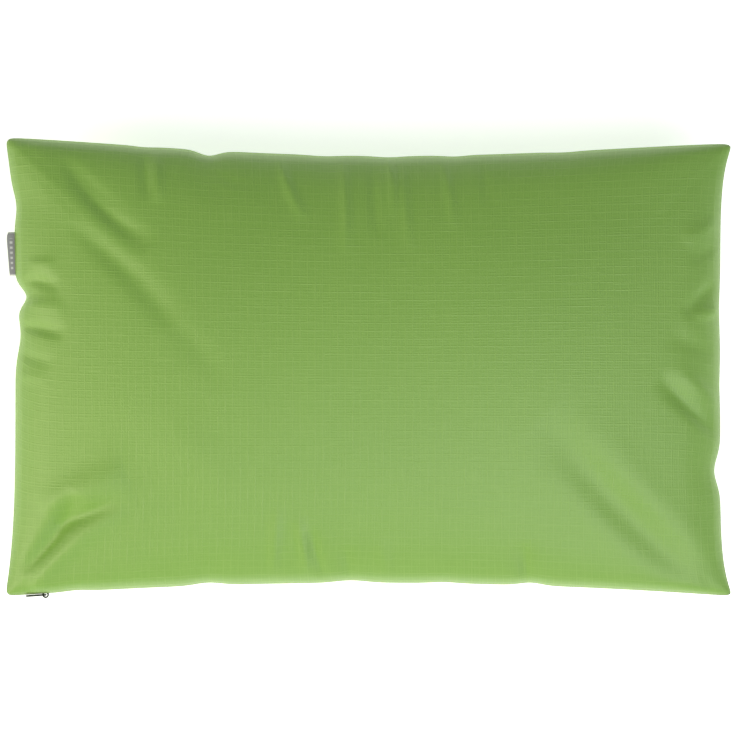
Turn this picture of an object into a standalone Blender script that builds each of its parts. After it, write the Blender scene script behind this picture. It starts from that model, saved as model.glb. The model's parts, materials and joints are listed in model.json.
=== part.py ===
"""Camp pillow: a zipped cover round a fibre-filled insert, lying face up on a flat surface.

X runs along the pillow, Y across it and Z up. The origin is under the middle of the pillow, on the
surface it lies on. The zip is in the seam of the long side at -Y, with its slider closed at the -X end.
Lengths are in metres. An inset is a distance in from the pillow's edge, measured flat, and a negative
inset lies outside the edge.
"""

import math
from collections import namedtuple

import bmesh
import bpy
from mathutils import Vector

# Pillow
PILLOW_LENGTH = 0.486  # corner tip to corner tip, along X
PILLOW_WIDTH = 0.306  # corner tip to corner tip, along Y
PILLOW_HEIGHT = 0.104  # filled thickness at the middle
SEAM_HEIGHT = 0.050  # the edge seam above the surface the pillow lies on
LONG_SIDE_HOLLOW = 0.009  # how far a filled long side pulls in at its middle
SHORT_SIDE_HOLLOW = 0.0085  # the same for a short side
BACK_FULLNESS = 1.16  # depth that the back would have, over the seam height, if nothing flattened it
END_ROUNDNESS = 2.5  # powers of the crown's profile: a higher one is fuller towards the edge
SIDE_ROUNDNESS = 2.0
CLEARANCE = 0.00042  # gap between pieces that lie against each other

# Cover
FABRIC = 0.0006  # ripstop with its coating
SEAM_ALLOWANCE = 0.010  # turned inside, past the seam
SEAM_GAP = 0.0012  # between the two allowances, where the stitches lie
SEAM_THREAD = 0.0004  # diameter
SEAM_STITCH_INSET = 0.0013
OVERLOCK_WIDTH = 0.0010  # the edging sewn over both raw allowances

# Insert
CASE_FABRIC = 0.0005
CASE_GAP = 0.0009  # between the two halves of the case, where its stitches lie
CASE_THREAD = 0.0003
INSERT_ROOM = 0.0013  # between the cover and the insert, over the insert's crown

# Zip
ZIP_END_MARGIN = 0.0155  # corner tip to the end of the zip's opening
LIP_GAP = 0.0020  # between the two folded edges that hide the zip
COIL_GAP = 0.0014  # between the two coils, which the slider's neck passes through
COIL_WIDTH = 0.0016
COIL_THICKNESS = 0.0017
TAPE_THICKNESS = 0.0005
TAPE_END_TRIM = 0.0030  # opening's end to tape's end
TAPE_TAIL = 0.0018  # end stop to tape's end
TAPE_EDGE_GAP = 0.0016  # tape's outer edge to the panel over it
STOP_LENGTH = 0.0015
ZIP_THREAD = 0.0003
ZIP_STITCH_FROM_EDGE = 0.0010  # tape's outer edge to the stitches that hold it

# Slider and pull
SLIDER_LENGTH = 0.0086
PLATE = 0.0008  # thickness of the slider's outer and inner plates
PLATE_BELOW_LIP = 0.0015  # folded edge to the outer plate
FLANGE = 0.0006
NECK_LENGTH = 0.0022
RUNNING_GAP = 0.0004  # slider to coil and tape
CROWN_RADIUS = 0.0022  # the arch that holds the pull
CROWN_HOLE_RADIUS = 0.0012
CROWN_THICKNESS = 0.0013
PULL_LENGTH = 0.0130
PULL_WIDTH = 0.0045
PULL_THICKNESS = 0.0010
PULL_EYE_LENGTH = 0.0022
PULL_EYE_WIDTH = 0.0025
PULL_BAR = 0.0010  # the end of the pull, which passes through the crown
PULL_HOLE_RADIUS = 0.0010

# Side label, a folded ribbon sewn into the seam at -X
LABEL_FROM_MIDDLE = 0.0755  # middle of the label to the pillow's middle, along Y
LABEL_WIDTH = 0.029
LABEL_REACH = 0.006
LABEL_ROOT = 0.0007
LABEL_THICKNESS = 0.00045

# Care label, a folded satin ribbon on the allowance inside the +X side
CARE_FROM_MIDDLE = -0.040
CARE_WIDTH = 0.030
CARE_START = 0.0025  # inset of its sewn end
CARE_THICKNESS = 0.0004

# Worked out
HALF_LENGTH = PILLOW_LENGTH / 2
HALF_WIDTH = PILLOW_WIDTH / 2
SIDE_RADIUS = (HALF_LENGTH**2 + LONG_SIDE_HOLLOW**2) / (2 * LONG_SIDE_HOLLOW)
SIDE_CENTRE = HALF_WIDTH - LONG_SIDE_HOLLOW + SIDE_RADIUS  # distance of each side's centre from the X axis
SHORT_SIDE_SLOPE = 0.35 * LONG_SIDE_HOLLOW  # what a long side has pulled in near its ends
OVERLOCK_INSET = SEAM_ALLOWANCE + CLEARANCE

HEM = 2 * FABRIC  # a folded edge is two layers thick
OUTER_PLATE_INSET = HEM + PLATE_BELOW_LIP
COIL_INSET = OUTER_PLATE_INSET + PLATE + RUNNING_GAP
TAPE_INSET = COIL_INSET + COIL_THICKNESS + CLEARANCE
INNER_PLATE_INSET = TAPE_INSET + TAPE_THICKNESS + RUNNING_GAP
ZIP_DEPTH = INNER_PLATE_INSET + PLATE
COIL_OUTER_Z = COIL_GAP / 2 + COIL_WIDTH
FLANGE_Z = COIL_OUTER_Z + CLEARANCE
SLIDER_HALF_WIDTH = FLANGE_Z + FLANGE
OPENING_HALF = HALF_LENGTH - ZIP_END_MARGIN
TAPE_HALF = OPENING_HALF - TAPE_END_TRIM
STOP_OUTER = TAPE_HALF - TAPE_TAIL
COIL_HALF = STOP_OUTER - STOP_LENGTH - CLEARANCE
SLIDER_TRAVEL_HALF = COIL_HALF - CLEARANCE - SLIDER_LENGTH / 2
SLIDER_ANGLE = SLIDER_TRAVEL_HALF / SIDE_RADIUS
PULL_INSET = -(CLEARANCE + PULL_THICKNESS / 2)  # the pull's pivot, outside the edge
CASE_INSET = max(OVERLOCK_INSET + OVERLOCK_WIDTH, ZIP_DEPTH) + CLEARANCE

# Grid lines over the pillow: -1 to 1 across it and along it, with one at each end of the zip's opening
OPENING_U = OPENING_HALF / HALF_LENGTH
HALF_COLUMNS = [OPENING_U * math.sin(math.pi / 2 * k / 8) for k in range(1, 9)] + [(OPENING_U + 1) / 2, 1.0]
HALF_ROWS = [math.sin(math.pi / 2 * k / 6) for k in range(1, 6)] + [0.99, 1.0]
COLUMNS = [-u for u in reversed(HALF_COLUMNS)] + [0.0] + HALF_COLUMNS
ROWS = [-v for v in reversed(HALF_ROWS)] + [0.0] + HALF_ROWS
OPENING_COLUMNS = [u for u in COLUMNS if abs(u) <= OPENING_U + 1e-9]
NEAR_EDGE = -0.9  # rows past this take the gap of the seam or zip beside them

# How far a layer of the pillow lies inside the cover's outer face: flat, under the crown, and off the surface
Layer = namedtuple("Layer", "inset drop floor")
COVER_OUTER = Layer(0.0, 0.0, 0.0)
COVER_INNER = Layer(FABRIC, FABRIC, FABRIC)
COVER_HEM = Layer(HEM, FABRIC, FABRIC)
CASE_OUTER = Layer(CASE_INSET, FABRIC + INSERT_ROOM, FABRIC + CLEARANCE)


def deeper(layer, by):
    return Layer(layer.inset + by, layer.drop + by, layer.floor + by)


CASE_INNER = deeper(CASE_OUTER, CASE_FABRIC)
FILL = deeper(CASE_INNER, CLEARANCE)


# Shape of the pillow


def edge_xy(u, v, inset):
    """The place at u, v in a pillow whose edge is inset by that much; u or v of 1 is on its edge."""
    x = u * (HALF_LENGTH - inset - SHORT_SIDE_HOLLOW * (1 - v**4))
    side = SIDE_CENTRE - math.sqrt((SIDE_RADIUS + inset) ** 2 - x * x)
    return x, v * side


def arc_xy(along, inset):
    """The place beside the zip, at a distance along its seam from the middle and inset from the seam."""
    angle = along / SIDE_RADIUS
    radius = SIDE_RADIUS + inset
    return radius * math.sin(angle), radius * math.cos(angle) - SIDE_CENTRE


def profile(u, v):
    """Height of the crown at u, v as a share of its height in the middle."""
    along = max(0.0, 1 - abs(u) ** END_ROUNDNESS)
    across = max(0.0, 1 - abs(v) ** SIDE_ROUNDNESS)
    return math.sqrt(along * across)


def surface_point(side, u, v, layer, half_gap):
    """A point of a layer: side is 1 for the front of the pillow, facing up, and -1 for the back."""
    share = profile(u, v)
    if side > 0:
        rise = PILLOW_HEIGHT - SEAM_HEIGHT - layer.drop
        z = SEAM_HEIGHT + half_gap * (1 - share) + rise * share
    else:
        depth = SEAM_HEIGHT * BACK_FULLNESS - layer.drop
        z = max(layer.floor, SEAM_HEIGHT - half_gap * (1 - share) - depth * share)
    return Vector((*edge_xy(u, v, layer.inset), z))


def beside_zip(u, v):
    return v < NEAR_EDGE and abs(u) <= OPENING_U + 1e-9


def cover_half_gap(u, v):
    return LIP_GAP / 2 if beside_zip(u, v) else SEAM_GAP / 2


def cover_inner_layer(u, v):
    """The cover's inner face, which lies deeper where the edge is folded double beside the zip."""
    return COVER_HEM if beside_zip(u, v) and v < -0.98 else COVER_INNER


def rim():
    """Grid indices (column, row) round the pillow's edge, anticlockwise from the -X, -Y corner."""
    last_i, last_j = len(COLUMNS) - 1, len(ROWS) - 1
    low = [(i, 0) for i in range(last_i)]
    right = [(last_i, j) for j in range(last_j)]
    high = [(i, last_j) for i in range(last_i, 0, -1)]
    left = [(0, j) for j in range(last_j, 0, -1)]
    return low + right + high + left


def rim_uv():
    return [(COLUMNS[i], ROWS[j]) for i, j in rim()]


# Scene helpers


def clear_scene():
    for obj in list(bpy.data.objects):
        bpy.data.objects.remove(obj)


def material(name, colour, roughness, metallic=0.0):
    made = bpy.data.materials.new(name)
    made.use_nodes = True
    shader = made.node_tree.nodes["Principled BSDF"]
    shader.inputs["Base Color"].default_value = (*colour, 1.0)
    shader.inputs["Roughness"].default_value = roughness
    shader.inputs["Metallic"].default_value = metallic
    return made


def face_out(bm):
    bmesh.ops.recalc_face_normals(bm, faces=bm.faces)
    if bm.calc_volume(signed=True) < 0:
        bmesh.ops.reverse_faces(bm, faces=bm.faces)


def object_from(mesh_data, name, look, smooth=True):
    """A scene object from a bmesh, facing out, with its material."""
    face_out(mesh_data)
    mesh = bpy.data.meshes.new(name)
    mesh_data.to_mesh(mesh)
    mesh_data.free()
    if smooth:
        mesh.shade_smooth()
        mesh.set_sharp_from_angle(angle=math.radians(40))
    mesh.materials.append(look)
    obj = bpy.data.objects.new(name, mesh)
    bpy.context.scene.collection.objects.link(obj)
    return obj


def grid_faces(bm, grid):
    for low, high in zip(grid, grid[1:]):
        for k in range(len(low) - 1):
            bm.faces.new((low[k], low[k + 1], high[k + 1], high[k]))


def loop_faces(bm, first, second, closed=True):
    """Quads between two rings of vertices, or between two open rows."""
    count = len(first)
    for k in range(count if closed else count - 1):
        following = (k + 1) % count
        bm.faces.new((first[k], first[following], second[following], second[k]))


def surface_grid(bm, side, layer_at, half_gap_at):
    """Vertices of one face of a panel, as a list of columns."""
    return [
        [bm.verts.new(surface_point(side, u, v, layer_at(u, v), half_gap_at(u, v))) for v in ROWS]
        for u in COLUMNS
    ]


def strip_along(stations, place, section_at, name, look):
    """A solid strip along the pillow's edge.

    section_at gives its outline at a station, as (inset, z above the seam), and place gives a point's x and y.
    """
    bm = bmesh.new()
    rings = []
    for station in stations:
        outline = section_at(*station)
        rings.append([bm.verts.new((*place(*station, inset), SEAM_HEIGHT + z)) for inset, z in outline])
    for first, second in zip(rings, rings[1:]):
        loop_faces(bm, first, second)
    bm.faces.new(rings[0])
    bm.faces.new(rings[-1])
    return object_from(bm, name, look)


def box_section(inset, depth, low_z, high_z):
    return [(inset, low_z), (inset + depth, low_z), (inset + depth, high_z), (inset, high_z)]


def thread_section(inset, z, diameter):
    radius = diameter / 2
    return [(inset - radius, z), (inset, z - radius), (inset + radius, z), (inset, z + radius)]


def prism(outline, low, high, axes, name):
    """A closed prism: outline is a list of 2-D points, and axes says which axes they and the height lie on."""
    bm = bmesh.new()
    a, b, c = axes

    def vertex(point, height):
        place = [0.0, 0.0, 0.0]
        place[a], place[b], place[c] = point[0], point[1], height
        return bm.verts.new(place)

    first = [vertex(point, low) for point in outline]
    second = [vertex(point, high) for point in outline]
    loop_faces(bm, first, second)
    bm.faces.new(first)
    bm.faces.new(second)
    face_out(bm)
    mesh = bpy.data.meshes.new(name)
    bm.to_mesh(mesh)
    bm.free()
    return mesh


def rounded_rectangle(low_x, high_x, low_y, high_y, radius, steps=3):
    corners = (
        (high_x - radius, high_y - radius, 0),
        (low_x + radius, high_y - radius, 90),
        (low_x + radius, low_y + radius, 180),
        (high_x - radius, low_y + radius, 270),
    )
    outline = []
    for centre_x, centre_y, start in corners:
        for k in range(steps + 1):
            angle = math.radians(start + 90 * k / steps)
            outline.append((centre_x + radius * math.cos(angle), centre_y + radius * math.sin(angle)))
    return outline


def circle(centre_x, centre_y, radius, steps):
    turn = 2 * math.pi / steps
    angles = [k * turn for k in range(steps)]
    return [(centre_x + radius * math.cos(a), centre_y + radius * math.sin(a)) for a in angles]


def linked(name, mesh):
    obj = bpy.data.objects.new(name, mesh)
    bpy.context.scene.collection.objects.link(obj)
    return obj


def combine(base, mesh, name, operation):
    """Adds or cuts a helper mesh with a Boolean, and leaves the helper out of the model."""
    helper = linked(name, mesh)
    helper.hide_render = True
    helper.display_type = "WIRE"
    helper.parent = base
    boolean = base.modifiers.new(name, "BOOLEAN")
    boolean.object = helper
    boolean.operation = operation
    boolean.solver = "EXACT"


# Cover and insert


def cover_panel(side, name, look):
    """One panel with its seam allowance turned inside, or folded against itself beside the zip."""
    bm = bmesh.new()
    outer = surface_grid(bm, side, lambda u, v: COVER_OUTER, cover_half_gap)
    inner = surface_grid(bm, side, cover_inner_layer, cover_half_gap)
    tip_low, tip_high = [], []
    for i, j in rim():
        u, v = COLUMNS[i], ROWS[j]
        gap = cover_half_gap(u, v)
        if beside_zip(u, v):
            places = ((HEM / 3, gap), (HEM * 2 / 3, gap))
        else:
            places = ((SEAM_ALLOWANCE, gap), (SEAM_ALLOWANCE, gap + FABRIC))
            inner[i][j].co.z += side * FABRIC
        for ring, (inset, z) in zip((tip_low, tip_high), places):
            ring.append(bm.verts.new((*edge_xy(u, v, inset), SEAM_HEIGHT + side * z)))
    rings = [[outer[i][j] for i, j in rim()], tip_low, tip_high, [inner[i][j] for i, j in rim()]]
    for first, second in zip(rings, rings[1:]):
        loop_faces(bm, first, second)
    grid_faces(bm, outer)
    grid_faces(bm, inner)
    return object_from(bm, name, look)


def case_panel(side, name, look):
    bm = bmesh.new()
    outer = surface_grid(bm, side, lambda u, v: CASE_OUTER, lambda u, v: CASE_GAP / 2)
    inner = surface_grid(bm, side, lambda u, v: CASE_INNER, lambda u, v: CASE_GAP / 2)
    loop_faces(bm, [outer[i][j] for i, j in rim()], [inner[i][j] for i, j in rim()])
    grid_faces(bm, outer)
    grid_faces(bm, inner)
    return object_from(bm, name, look)


def fibre_fill(look):
    """The filling as one closed body: its front and back grids share the vertices of their rim."""
    bm = bmesh.new()
    front = surface_grid(bm, 1, lambda u, v: FILL, lambda u, v: 0.0)
    back = surface_grid(bm, -1, lambda u, v: FILL, lambda u, v: 0.0)
    for i, j in rim():
        bm.verts.remove(back[i][j])
        back[i][j] = front[i][j]
    grid_faces(bm, front)
    grid_faces(bm, back)
    return object_from(bm, "fibre_fill", look)


def cover_threads(look):
    """The seam stitches and the overlocked edging round the three sides without a zip."""
    ring = rim_uv()
    start = ring.index(next(uv for uv in ring if uv[1] == -1.0 and uv[0] > OPENING_U + 1e-9))
    stations = ring[start:] + [uv for uv in ring[:start] if uv[1] == -1.0 and uv[0] < -OPENING_U - 1e-9]
    strip_along(
        stations,
        edge_xy,
        lambda u, v: thread_section(SEAM_STITCH_INSET, 0.0, SEAM_THREAD),
        "cover_seam_thread",
        look,
    )
    half = SEAM_GAP / 2 + FABRIC
    strip_along(
        [uv for uv in ring[1:] + ring[:1] if uv[1] > -0.97],
        edge_xy,
        lambda u, v: box_section(OVERLOCK_INSET, OVERLOCK_WIDTH, -half, half),
        "cover_overlock_edging",
        look,
    )


def case_thread(look):
    """Stitches between the two halves of the case, broken where they start and end."""
    inset = CASE_INSET + CASE_FABRIC / 2
    outline = thread_section(inset, 0.0, CASE_THREAD)
    strip_along(rim_uv(), edge_xy, lambda u, v: outline, "insert_case_thread", look)


def short_side_xy(side, y, inset):
    """The place beside the short side at -X (-1) or +X (1), inset from its edge, at that y."""
    share = y / (HALF_WIDTH - SHORT_SIDE_SLOPE)
    return side * (HALF_LENGTH - inset - SHORT_SIDE_HOLLOW * (1 - share**4)), y


def ribbon_label(side, middle_y, width, outline, name, look):
    """A folded ribbon lying on the seam at a short side, with the outline that its end has."""
    half = width / 2
    stations = [(side, middle_y - half), (side, middle_y + half)]
    return strip_along(stations, short_side_xy, lambda side, y: outline, name, look)


def ribbon_outline(low_inset, high_inset, thickness, z):
    """The end of a folded ribbon, as (inset, z) points, thinner along the fold."""
    half = thickness / 2
    return [
        (low_inset, z - half * 0.4),
        (low_inset + half, z - half),
        (high_inset, z - half),
        (high_inset, z + half),
        (low_inset + half, z + half),
        (low_inset, z + half * 0.4),
    ]


# Zip


def room_under_panel(u, inset):
    """Height above the seam of the front panel's inner face at that inset, in the grid column u."""
    points = []
    for v in ROWS:
        if v < -0.6:
            layer = cover_inner_layer(u, v)
            place = surface_point(1, u, v, layer, cover_half_gap(u, v))
            edge = SIDE_RADIUS - math.hypot(place.x, place.y + SIDE_CENTRE)
            points.append((-edge, place.z - SEAM_HEIGHT))
    for (near, low), (far, high) in zip(points, points[1:]):
        if near <= inset <= far:
            return low + (high - low) * (inset - near) / (far - near)
    return points[-1][1]


def tape_edge(along):
    return room_under_panel(along / HALF_LENGTH, TAPE_INSET) - TAPE_EDGE_GAP


def zip_half(side, word, tape_look, coil_look, thread_look):
    """The tape, coil and stitches on the front or back side of the zip."""
    low = COIL_GAP / 2
    tape_stations = [(TAPE_HALF * u / OPENING_U,) for u in OPENING_COLUMNS]

    def tape_section(along):
        return box_section(TAPE_INSET, TAPE_THICKNESS, side * low, side * tape_edge(along))

    def stitch_section(along):
        inset = TAPE_INSET + TAPE_THICKNESS + CLEARANCE + ZIP_THREAD / 2
        return thread_section(inset, side * (tape_edge(along) - ZIP_STITCH_FROM_EDGE), ZIP_THREAD)

    strip_along(tape_stations, arc_xy, tape_section, "zip_tape_" + word, tape_look)
    strip_along(tape_stations, arc_xy, stitch_section, "zip_stitching_" + word, thread_look)

    bevel = 0.3 * min(COIL_WIDTH, COIL_THICKNESS)
    near, far = COIL_INSET, COIL_INSET + COIL_THICKNESS
    bottom, top = low, COIL_OUTER_Z
    outline = [
        (near + bevel, bottom),
        (far - bevel, bottom),
        (far, bottom + bevel),
        (far, top - bevel),
        (far - bevel, top),
        (near + bevel, top),
        (near, top - bevel),
        (near, bottom + bevel),
    ]
    coil_outline = [(inset, side * z) for inset, z in outline]
    coil_stations = [(COIL_HALF * (k / 12 - 1),) for k in range(25)]
    strip_along(coil_stations, arc_xy, lambda along: coil_outline, "zip_coil_" + word, coil_look)


def end_stop(side, word, look):
    """The stop across both coils at one end of the zip."""
    stations = [(side * (STOP_OUTER - STOP_LENGTH),), (side * STOP_OUTER,)]
    half = COIL_OUTER_Z
    chamfer = 0.0004
    outline = [
        (COIL_INSET, chamfer - half),
        (COIL_INSET + chamfer, -half),
        (COIL_INSET + COIL_THICKNESS, -half),
        (COIL_INSET + COIL_THICKNESS, half),
        (COIL_INSET + chamfer, half),
        (COIL_INSET, half - chamfer),
    ]
    strip_along(stations, arc_xy, lambda along: outline, "zip_end_stop_" + word, look)


def zip_slider(look):
    """The slider, about the centre of the seam's arc: its own X runs along the zip and its Y is the radius."""
    half = SLIDER_LENGTH / 2
    plate_outline = rounded_rectangle(-half, half, -SLIDER_HALF_WIDTH, SLIDER_HALF_WIDTH, 0.0012)

    def radius(inset):
        return SIDE_RADIUS + inset

    outer_ends = (radius(OUTER_PLATE_INSET), radius(OUTER_PLATE_INSET + PLATE))
    outer_plate = prism(plate_outline, *outer_ends, (0, 2, 1), "slider")
    slider = linked("zip_slider", outer_plate)
    outer_plate.materials.append(look)
    inner_plate = prism(plate_outline, radius(INNER_PLATE_INSET), radius(ZIP_DEPTH), (0, 2, 1), "inner_plate")
    combine(slider, inner_plate, "slider_inner_plate", "UNION")

    overlap = PLATE / 2
    flange_half = half - 0.0012
    flange_end = radius(TAPE_INSET - RUNNING_GAP)
    for side in (1, -1):
        edges = sorted((side * FLANGE_Z, side * SLIDER_HALF_WIDTH))
        outline = rounded_rectangle(
            -flange_half, flange_half, radius(OUTER_PLATE_INSET) + overlap, flange_end, 0.0004, 2
        )
        combine(slider, prism(outline, *edges, (0, 1, 2), "flange"), f"slider_flange_{side}", "UNION")

    neck_half = COIL_GAP / 2 - CLEARANCE
    neck_start = PLATE / 2 - half
    neck_end = neck_start + NECK_LENGTH
    neck = rounded_rectangle(neck_start, neck_end, -neck_half, neck_half, 0.9 * neck_half, 2)
    neck_ends = (radius(OUTER_PLATE_INSET) + overlap, radius(ZIP_DEPTH) - overlap)
    combine(slider, prism(neck, *neck_ends, (0, 2, 1), "neck"), "slider_neck", "UNION")

    pivot = radius(PULL_INSET)
    arch = [
        (CROWN_RADIUS * math.cos(a), pivot - CROWN_RADIUS * math.sin(a))
        for a in (math.pi * k / 10 for k in range(11))
    ]
    foot = radius(OUTER_PLATE_INSET) + overlap
    crown = [(CROWN_RADIUS, foot)] + arch + [(-CROWN_RADIUS, foot)]
    thick = CROWN_THICKNESS / 2
    combine(slider, prism(crown, -thick, thick, (0, 1, 2), "crown"), "slider_crown", "UNION")
    hole = circle(0.0, pivot, CROWN_HOLE_RADIUS, 16)
    combine(slider, prism(hole, -3 * thick, 3 * thick, (0, 1, 2), "hole"), "slider_crown_hole", "DIFFERENCE")

    slider.location = (0.0, -SIDE_CENTRE, SEAM_HEIGHT)
    slider.rotation_euler.z = SLIDER_ANGLE
    return slider


def zip_pull(slider, look):
    """The pull tab, about its pivot in the slider's crown, lying along the seam towards -X."""
    half = PULL_WIDTH / 2
    thick = PULL_THICKNESS / 2
    outline = rounded_rectangle(-PULL_LENGTH, PULL_BAR / 2, -half, half, 0.0008)
    plate = prism(outline, -thick, thick, (0, 2, 1), "pull")
    pull = linked("zip_pull_tab", plate)
    plate.materials.append(look)
    eye_end = -PULL_BAR / 2 - PULL_EYE_LENGTH
    eye_half = PULL_EYE_WIDTH / 2
    eye = rounded_rectangle(eye_end, -PULL_BAR / 2, -eye_half, eye_half, 0.0004, 2)
    combine(pull, prism(eye, -3 * thick, 3 * thick, (0, 2, 1), "eye"), "pull_eye", "DIFFERENCE")
    hole = circle(-PULL_LENGTH + 2.2 * PULL_HOLE_RADIUS, 0.0, PULL_HOLE_RADIUS, 12)
    combine(pull, prism(hole, -3 * thick, 3 * thick, (0, 2, 1), "hole"), "pull_hole", "DIFFERENCE")
    pull.parent = slider
    pull.location = (0.0, SIDE_RADIUS + PULL_INSET, 0.0)
    return pull


def build():
    clear_scene()
    ripstop = material("green_ripstop", (0.23, 0.41, 0.085), 0.55)
    thread = material("green_thread", (0.20, 0.36, 0.08), 0.7)
    tape = material("dark_zip_tape", (0.05, 0.055, 0.05), 0.8)
    coil = material("dark_nylon_coil", (0.03, 0.03, 0.03), 0.45)
    metal = material("dark_zip_metal", (0.09, 0.09, 0.095), 0.35, 0.9)
    label = material("grey_woven_label", (0.24, 0.24, 0.26), 0.8)
    satin = material("white_satin", (0.85, 0.85, 0.84), 0.5)
    case = material("white_nonwoven", (0.86, 0.86, 0.84), 0.9)
    fibre = material("polyester_fibre", (0.92, 0.92, 0.91), 1.0)

    cover_panel(1, "cover_front_panel", ripstop)
    cover_panel(-1, "cover_back_panel", ripstop)
    cover_threads(thread)
    case_panel(1, "insert_case_front", case)
    case_panel(-1, "insert_case_back", case)
    case_thread(case)
    fibre_fill(fibre)
    zip_half(1, "front", tape, coil, thread)
    zip_half(-1, "back", tape, coil, thread)
    end_stop(-1, "left", metal)
    end_stop(1, "right", metal)
    zip_pull(zip_slider(metal), metal)
    label_end = ribbon_outline(-LABEL_REACH, LABEL_ROOT, LABEL_THICKNESS, 0.0)
    ribbon_label(-1, LABEL_FROM_MIDDLE, LABEL_WIDTH, label_end, "side_label", label)
    care_z = SEAM_GAP / 2 + FABRIC + CLEARANCE + CARE_THICKNESS / 2
    care_end = ribbon_outline(CARE_START, SEAM_ALLOWANCE, CARE_THICKNESS, care_z)
    ribbon_label(1, CARE_FROM_MIDDLE, CARE_WIDTH, care_end, "care_label", satin)


build()
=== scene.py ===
import json
import math

import bmesh
import bpy
import numpy as np
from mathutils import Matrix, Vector


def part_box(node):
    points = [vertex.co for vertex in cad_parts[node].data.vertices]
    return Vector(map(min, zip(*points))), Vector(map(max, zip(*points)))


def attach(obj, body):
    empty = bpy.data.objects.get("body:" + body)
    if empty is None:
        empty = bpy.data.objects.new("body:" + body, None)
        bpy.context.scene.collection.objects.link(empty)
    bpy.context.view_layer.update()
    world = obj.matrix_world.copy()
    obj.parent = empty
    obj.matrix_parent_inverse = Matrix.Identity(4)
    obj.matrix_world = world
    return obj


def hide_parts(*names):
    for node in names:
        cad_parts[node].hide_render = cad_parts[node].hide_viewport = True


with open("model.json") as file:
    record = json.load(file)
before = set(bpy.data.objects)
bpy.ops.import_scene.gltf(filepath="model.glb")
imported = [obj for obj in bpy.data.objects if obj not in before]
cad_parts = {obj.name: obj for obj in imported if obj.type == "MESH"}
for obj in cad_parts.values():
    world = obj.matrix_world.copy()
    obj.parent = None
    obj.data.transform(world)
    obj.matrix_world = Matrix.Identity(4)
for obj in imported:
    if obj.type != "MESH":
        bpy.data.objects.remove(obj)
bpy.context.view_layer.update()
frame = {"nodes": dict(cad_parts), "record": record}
mm = 0.001

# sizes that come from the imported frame
frontLow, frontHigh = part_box("cover_front_panel")
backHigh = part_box("cover_back_panel")[1]
halfLength = frontHigh[0]
halfWidth = frontHigh[1]
seamZ = (frontLow[2] + backHigh[2]) / 2
zipJoint = next(j for j in frame["record"]["behaviour"]["joints"] if j["name"] == "zip_slide")
zipCentreY = zipJoint["pos_m"][1]
zipRadius = math.hypot(halfLength, -halfWidth - zipCentreY)
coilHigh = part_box("zip_coil_front")[1]
coilHalf = coilHigh[0]


def linearColour(hexColour):
    values = [int(hexColour[i : i + 2], 16) / 255 for i in (1, 3, 5)]
    return [v / 12.92 if v <= 0.04045 else ((v + 0.055) / 1.055) ** 2.4 for v in values] + [1.0]


def addNode(tree, kind, inputs=None, **settings):
    # one node: settings by name, and inputs by name or number, each a value or the socket that feeds it
    node = tree.nodes.new("ShaderNode" + kind)
    for key, value in settings.items():
        setattr(node, key, value)
    for key, value in (inputs or {}).items():
        if isinstance(value, bpy.types.NodeSocket):
            tree.links.new(value, node.inputs[key])
        else:
            node.inputs[key].default_value = value
    return node


def cellScale(size):
    # the scale of a noise or cell pattern, from the size of one cell
    return 1 / size


def bandScale(pitch):
    # the scale of a wave pattern, from the distance between its bands, which have 20 radians to a unit
    return math.pi / 10 / pitch


def newMaterial(name):
    made = bpy.data.materials.new(name)
    made.use_nodes = True
    tree = made.node_tree
    return made, tree, tree.nodes["Principled BSDF"]


def feed(tree, shader, **links):
    for key, socket in links.items():
        tree.links.new(socket, shader.inputs[key.replace("_", " ")])


def newPiece(name, verts, faces, material, body, replaced=(), smooth=True):
    mesh = bpy.data.meshes.new(name)
    mesh.from_pydata([tuple(v) for v in verts], [], faces)
    mesh.update()
    if smooth:
        mesh.shade_smooth()
    mesh.materials.append(material)
    piece = bpy.data.objects.new(name, mesh)
    bpy.context.scene.collection.objects.link(piece)
    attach(piece, body)
    if replaced:
        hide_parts(*replaced)
    return piece


# camera, lights and floor
studio = {
    "cameraHeight": 2.2,
    "viewWidth": 0.4913,  # metres across the view at the seam's height
    "sensor": 36.0,
    "cameraPlace": (-0.67 * mm, -0.67 * mm),  # the camera stands a little off the pillow's middle
    "clipEnd": 20,
    "keyPlace": (-1.5, -0.55, 1.05),
    "keySize": 0.9,
    "keyPower": 17.0,
    "keyColour": "#fff3da",
    "fillPlace": (0.7, -0.85, 1.65),
    "fillSize": 1.4,
    "fillPower": 20.0,
    "worldStrength": 0.24,
    "worldColour": "#eef7ff",
    "floorGlow": 0.65,
    "floorColour": "#f7f7f5",
    "floorReach": 3.0,
}


def studioMaterial():
    # matt white paper sweep: even, with no shine
    made, tree, shader = newMaterial("matt white paper backdrop")
    grain = addNode(tree, "TexNoise", {"Scale": cellScale(1.111 * mm), "Detail": 2.0})
    bump = addNode(tree, "Bump", {"Strength": 0.02, "Distance": 0.2 * mm, "Height": grain.outputs["Fac"]})
    feed(tree, shader, Normal=bump.outputs["Normal"])
    shader.inputs["Base Color"].default_value = linearColour(studio["floorColour"])
    shader.inputs["Roughness"].default_value = 0.95
    shader.inputs["Emission Color"].default_value = (1, 1, 1, 1)
    shader.inputs["Emission Strength"].default_value = studio["floorGlow"]
    return made


def areaLight(name, place, size, power, colour="#ffffff"):
    light = bpy.data.lights.new(name, "AREA")
    light.size = size
    light.energy = power
    light.color = linearColour(colour)[:3]
    lamp = bpy.data.objects.new(name, light)
    lamp.location = place
    lamp.rotation_euler = (Vector((0, 0, seamZ)) - lamp.location).to_track_quat("-Z", "Y").to_euler()
    bpy.context.scene.collection.objects.link(lamp)


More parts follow.
